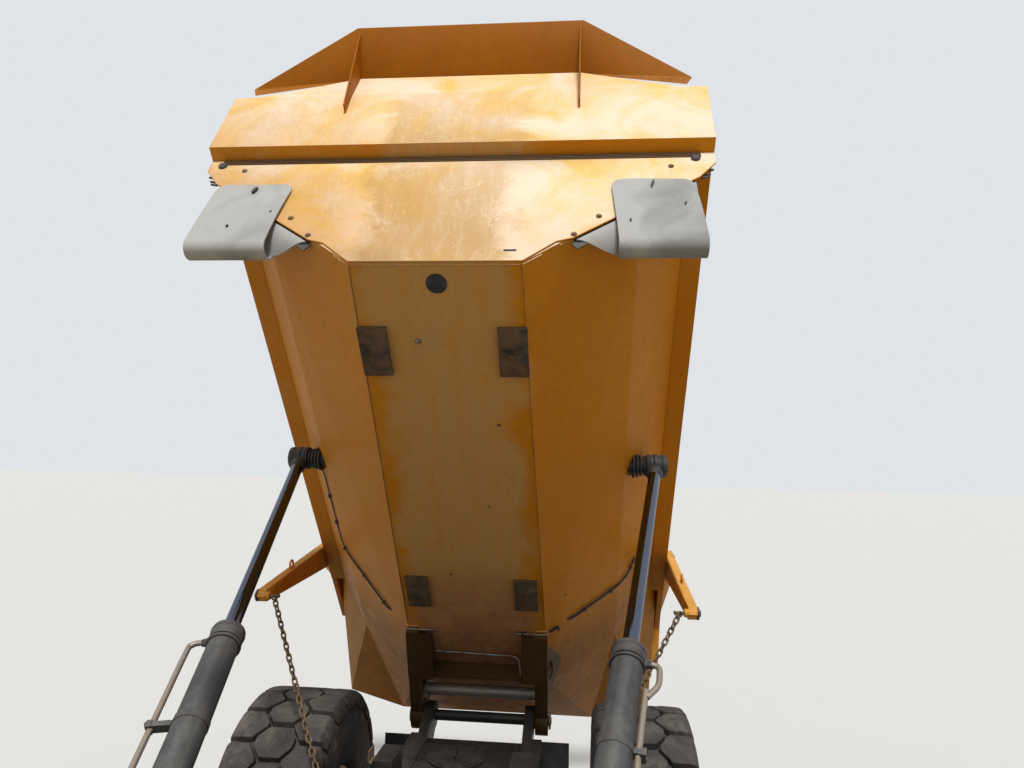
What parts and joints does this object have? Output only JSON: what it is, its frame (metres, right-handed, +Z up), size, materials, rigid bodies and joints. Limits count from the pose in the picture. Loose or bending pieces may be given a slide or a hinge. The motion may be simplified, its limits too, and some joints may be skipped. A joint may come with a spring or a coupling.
{
  "type": "articulated dump truck",
  "caption": "Articulated off-road hauler with a steering hitch between tractor and rear frame, a raised tipping bed and a chain-opened tailgate.",
  "frame": {"origin": "centre of the machine's footprint on the ground, bed raised and machine straight", "axes": "+X forward along the machine, +Y to its left, +Z up"},
  "size_m": [12.2486, 3.59, 6.9463],
  "materials": {
    "body_paint": "worn yellow-orange machine paint, dusty",
    "bed_paint": "dirty worn paint with clay dust",
    "frame_paint": "dark greasy paint",
    "black_paint": "black paint with grey dust",
    "bare_steel": "worn and lightly rusted steel",
    "rod_chrome": "bright ground rod",
    "tyre_rubber": "dusty tread rubber",
    "flap_rubber": "dusty grey sheet rubber",
    "pad_rubber": "muddy dark pads",
    "trim_plastic": "black trim",
    "window_glass": "clear glass",
    "lamp_glass": "clear lamp lens"
  },
  "bodies": {
    "tractor": {"front_frame": "frame_paint", "front_axle": "frame_paint", "engine_block": "frame_paint", "radiator": "black_paint", "bumper": "body_paint", "fenders": "body_paint", "side_tanks": "frame_paint", "rear_deck": "frame_paint", "deck_rails": "black_paint", "cab_shell": "body_paint", "cab_glass": "window_glass", "cab_seat": "trim_plastic", "cab_console": "trim_plastic", "exhaust_stack": "bare_steel", "mirrors": "black_paint", "head_lamps": "lamp_glass", "steer_barrel_left": "black_paint", "steer_barrel_right": "black_paint"},
    "door": {"cab_door": "body_paint", "door_glass": "window_glass"},
    "hood": {"hood": "body_paint"},
    "hitch": {"hitch": "body_paint"},
    "rear_frame": {"rear_frame": "frame_paint", "frame_brackets": "frame_paint", "frame_cover": "frame_paint", "rear_axles": "frame_paint", "walking_beams": "frame_paint"},
    "wheel_front_left": {"tyre_front_left": "tyre_rubber", "rim_front_left": "body_paint"},
    "wheel_front_right": {"tyre_front_right": "tyre_rubber", "rim_front_right": "body_paint"},
    "wheel_centre_left": {"tyre_centre_left": "tyre_rubber", "rim_centre_left": "body_paint"},
    "wheel_centre_right": {"tyre_centre_right": "tyre_rubber", "rim_centre_right": "body_paint"},
    "wheel_rear_left": {"tyre_rear_left": "tyre_rubber", "rim_rear_left": "body_paint"},
    "wheel_rear_right": {"tyre_rear_right": "tyre_rubber", "rim_rear_right": "body_paint"},
    "bed": {"bed_tub": "bed_paint", "bed_front_wall": "bed_paint", "bed_top_rails": "bed_paint", "bed_canopy": "bed_paint", "bed_hinge_legs": "bed_paint", "bed_pads": "pad_rubber", "bed_bosses": "black_paint", "bed_flaps": "flap_rubber"},
    "tailgate": {"tailgate": "bed_paint"},
    "hoist_barrel_left": {"hoist_barrel_left": "black_paint"},
    "hoist_rod_left": {"hoist_rod_left": "rod_chrome"},
    "steer_rod_left": {"steer_rod_left": "rod_chrome"},
    "chain_lower_left": {"chain_lower_left": "bare_steel"},
    "chain_upper_left": {"chain_upper_left": "bare_steel"},
    "hoist_barrel_right": {"hoist_barrel_right": "black_paint"},
    "hoist_rod_right": {"hoist_rod_right": "rod_chrome"},
    "steer_rod_right": {"steer_rod_right": "rod_chrome"},
    "chain_lower_right": {"chain_lower_right": "bare_steel"},
    "chain_upper_right": {"chain_upper_right": "bare_steel"}
  },
  "joints": [
    {"name": "steering", "type": "hinge", "parent": "tractor", "child": "hitch", "pos_m": [1.82433, 0, 1.09], "axis": [0, 0, 1], "range_deg": [-45, 45]},
    {"name": "frame_roll", "type": "hinge", "parent": "hitch", "child": "rear_frame", "pos_m": [1.22433, 0, 1.09], "axis": [1, 0, 0], "range_deg": [-15, 15]},
    {"name": "wheel_front_left_turn", "type": "hinge", "parent": "tractor", "child": "wheel_front_left", "pos_m": [3.12433, 1.343, 0.92971], "axis": [0, 1, 0], "continuous": true},
    {"name": "wheel_front_right_turn", "type": "hinge", "parent": "tractor", "child": "wheel_front_right", "pos_m": [3.12433, -1.343, 0.92971], "axis": [0, 1, 0], "continuous": true},
    {"name": "wheel_centre_left_turn", "type": "hinge", "parent": "rear_frame", "child": "wheel_centre_left", "pos_m": [-1.32567, 1.343, 0.92971], "axis": [0, 1, 0], "continuous": true},
    {"name": "wheel_centre_right_turn", "type": "hinge", "parent": "rear_frame", "child": "wheel_centre_right", "pos_m": [-1.32567, -1.343, 0.92971], "axis": [0, 1, 0], "continuous": true},
    {"name": "wheel_rear_left_turn", "type": "hinge", "parent": "rear_frame", "child": "wheel_rear_left", "pos_m": [-3.27567, 1.343, 0.92971], "axis": [0, 1, 0], "continuous": true},
    {"name": "wheel_rear_right_turn", "type": "hinge", "parent": "rear_frame", "child": "wheel_rear_right", "pos_m": [-3.27567, -1.343, 0.92971], "axis": [0, 1, 0], "continuous": true},
    {"name": "hood_tilt", "type": "hinge", "parent": "tractor", "child": "hood", "pos_m": [6.02433, 0, 1.4203], "axis": [0, 1, 0], "range_deg": [0, 60]},
    {"name": "door_swing", "type": "hinge", "parent": "tractor", "child": "door", "pos_m": [4.03433, 0.85, 2.7], "axis": [0, 0, -1], "range_deg": [0, 75]},
    {"name": "bed_tip", "type": "hinge", "parent": "rear_frame", "child": "bed", "pos_m": [-4.02567, 0, 1.49], "axis": [0, -1, 0], "range_deg": [-49, 0]},
    {"name": "tailgate_swing", "type": "hinge", "parent": "bed", "child": "tailgate", "pos_m": [-4.81722, 0, 2.77434], "axis": [0, 1, 0], "range_deg": [-28, 0]},
    {"name": "hoist_swing_left", "type": "hinge", "parent": "rear_frame", "child": "hoist_barrel_left", "pos_m": [1.02433, 0.665, 1.29], "axis": [0.3795, 0.8402, 0.3874], "range_deg": [-10.72, 0]},
    {"name": "hoist_stroke_left", "type": "slide", "parent": "hoist_barrel_left", "child": "hoist_rod_left", "axis": [-0.855, 0.1584, 0.4939], "range_m": [-1.84148, 0]},
    {"name": "steer_stroke_left", "type": "slide", "parent": "tractor", "child": "steer_rod_left", "axis": [-0.9666, -0.2561, 0], "range_m": [-0.246, 0.246]},
    {"name": "chain_lower_swing_left", "type": "hinge", "parent": "rear_frame", "child": "chain_lower_left", "pos_m": [-2.44567, 0.87, 1.48], "axis": [0.7278, -0.1767, 0.6626], "range_deg": [-75.35, 0]},
    {"name": "chain_upper_swing_left", "type": "hinge", "parent": "tailgate", "child": "chain_upper_left", "pos_m": [-3.28155, 1.645, 2.6048], "axis": [-0.8358, -0.4544, -0.3081], "range_deg": [-31.86, 0]},
    {"name": "hoist_swing_right", "type": "hinge", "parent": "rear_frame", "child": "hoist_barrel_right", "pos_m": [1.02433, -0.665, 1.29], "axis": [-0.3795, 0.8402, -0.3874], "range_deg": [-10.72, 0]},
    {"name": "hoist_stroke_right", "type": "slide", "parent": "hoist_barrel_right", "child": "hoist_rod_right", "axis": [-0.855, -0.1584, 0.4939], "range_m": [-1.84148, 0]},
    {"name": "steer_stroke_right", "type": "slide", "parent": "tractor", "child": "steer_rod_right", "axis": [-0.9666, 0.2561, 0], "range_m": [-0.246, 0.246]},
    {"name": "chain_lower_swing_right", "type": "hinge", "parent": "rear_frame", "child": "chain_lower_right", "pos_m": [-2.44567, -0.87, 1.48], "axis": [-0.7278, -0.1767, -0.6626], "range_deg": [-75.35, 0]},
    {"name": "chain_upper_swing_right", "type": "hinge", "parent": "tailgate", "child": "chain_upper_right", "pos_m": [-3.28155, -1.645, 2.6048], "axis": [0.8358, -0.4544, 0.3081], "range_deg": [-31.86, 0]}
  ],
  "couplings": [
    {"joint": "tailgate_swing", "follows": "bed_tip", "ratio": 0.57143},
    {"joint": "hoist_swing_left", "follows": "bed_tip", "ratio": 0.2188},
    {"joint": "hoist_stroke_left", "follows": "bed_tip", "m_per_rad": 2.1532},
    {"joint": "steer_stroke_left", "follows": "steering", "m_per_rad": 0.313},
    {"joint": "chain_lower_swing_left", "follows": "bed_tip", "ratio": 1.5378},
    {"joint": "chain_upper_swing_left", "follows": "bed_tip", "ratio": 0.6502},
    {"joint": "hoist_swing_right", "follows": "bed_tip", "ratio": 0.2188},
    {"joint": "hoist_stroke_right", "follows": "bed_tip", "m_per_rad": 2.1532},
    {"joint": "steer_stroke_right", "follows": "steering", "m_per_rad": -0.313},
    {"joint": "chain_lower_swing_right", "follows": "bed_tip", "ratio": 1.5378},
    {"joint": "chain_upper_swing_right", "follows": "bed_tip", "ratio": 0.6502}
  ]
}
